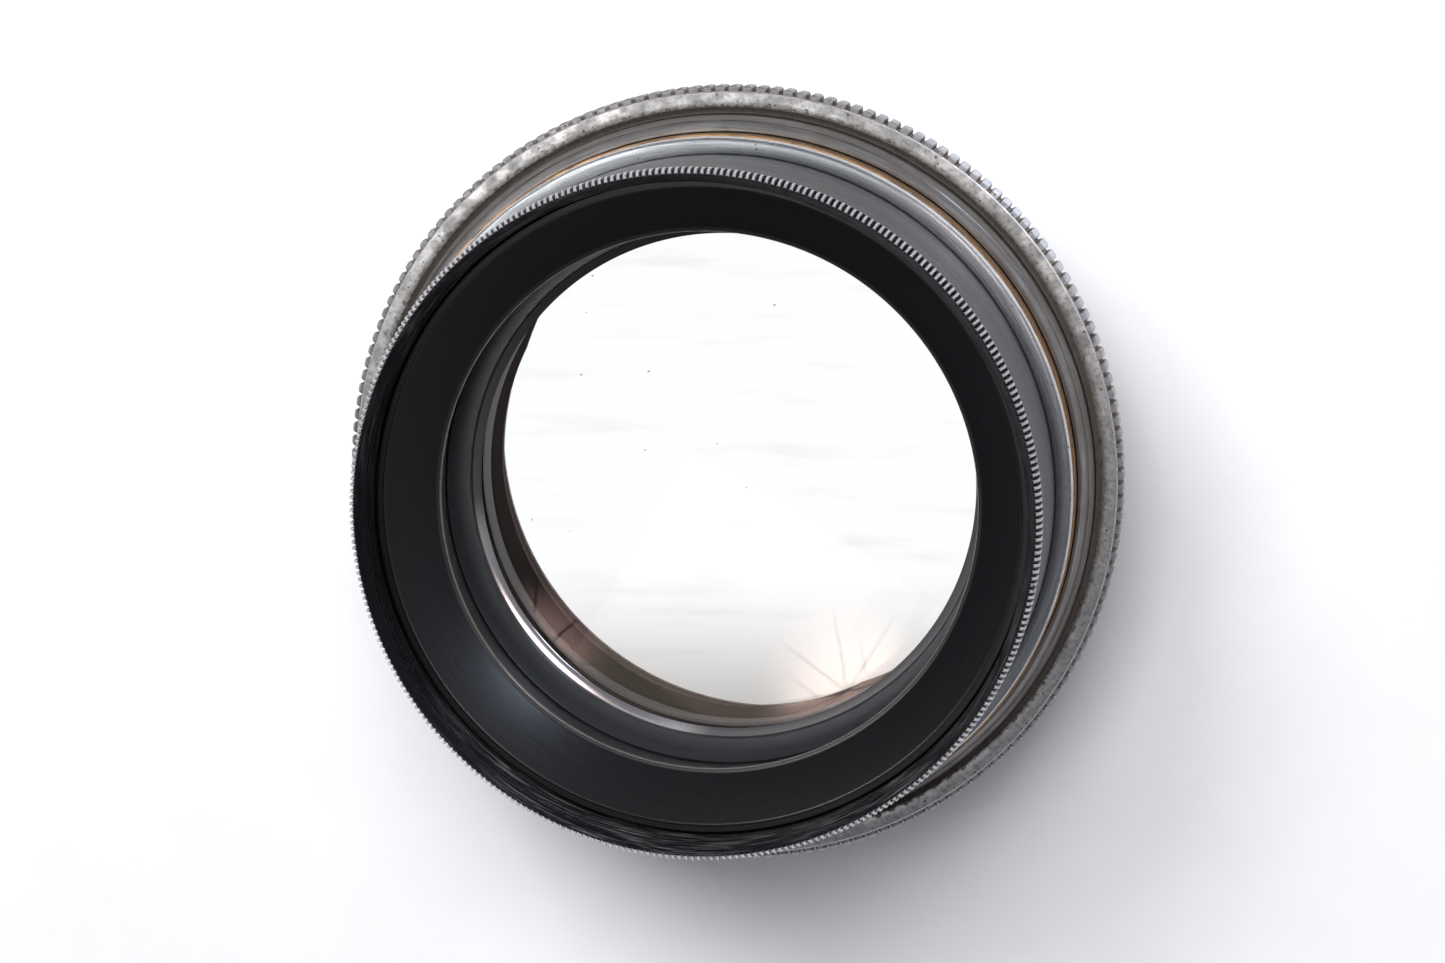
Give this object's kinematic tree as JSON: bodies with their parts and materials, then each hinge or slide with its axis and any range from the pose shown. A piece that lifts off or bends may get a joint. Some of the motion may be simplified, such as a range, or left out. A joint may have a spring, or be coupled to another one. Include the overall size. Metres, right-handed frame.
{
  "type": "barlow lens",
  "caption": "Barlow lens head: coated negative doublet in a satin barrel with a black front ring, brass focusing helicoid, knurled ring and 2-inch nosepiece.",
  "frame": {"origin": "centre of the nosepiece's end face, on the optical axis", "axes": "+Z along the optical axis towards the black front ring; the guide keys lie along X"},
  "size_m": [0.063, 0.063, 0.0439],
  "materials": {
    "black_paint": "satin black anodised",
    "satin_barrel": "satin, turned",
    "knurled_nickel": "nickel plated, worn, knurled",
    "machined_alloy": "machined, fine turning lines",
    "brass": "machined, slightly dull",
    "screw_steel": "plain steel",
    "coated_glass": "polished with a thin pinkish coating",
    "foil": "thin foil",
    "bronze": "bronze shim",
    "nose_tube": "satin plated tube",
    "bright_collar": "bright turned"
  },
  "bodies": {
    "base": {"nosepiece": "nose_tube", "nosepiece_baffle": "black_paint", "base_flange": "machined_alloy", "guide_keys": "screw_steel", "key_screws": "screw_steel", "thrust_washer": "bronze"},
    "focus_ring": {"knurled_ring": "knurled_nickel", "helicoid_ring": "machined_alloy", "retaining_ring": "black_paint", "ring_lock_screw": "screw_steel", "stop_screw": "screw_steel"},
    "lens_head": {"brass_sleeve": "brass", "collar": "bright_collar", "barrel": "satin_barrel", "lens_cell": "black_paint", "lens_retainer": "black_paint", "crown_lens": "coated_glass", "flint_lens": "coated_glass", "foil_spacers": "foil"},
    "mask": {"dished_mask": "black_paint"},
    "front_ring": {"front_ring": "black_paint"}
  },
  "joints": [
    {"name": "focus_turn", "type": "hinge", "parent": "base", "child": "focus_ring", "pos_m": [0, 0, 0.0222], "axis": [0, 0, 1], "range_deg": [-60, 60]},
    {"name": "head_slide", "type": "slide", "parent": "base", "child": "lens_head", "axis": [0, 0, 1], "range_m": [-0.002, 0.002]},
    {"name": "mask_rise", "type": "slide", "parent": "lens_head", "child": "mask", "axis": [0, 0, 1], "range_m": [0, 0.0045]},
    {"name": "front_ring_turn", "type": "hinge", "parent": "mask", "child": "front_ring", "pos_m": [0, 0, 0.043], "axis": [0, 0, 1], "range_deg": [0, 2160]}
  ],
  "couplings": [
    {"joint": "head_slide", "follows": "focus_turn", "m_per_rad": 0.0019098},
    {"joint": "mask_rise", "follows": "front_ring_turn", "m_per_rad": 0.00011936}
  ]
}
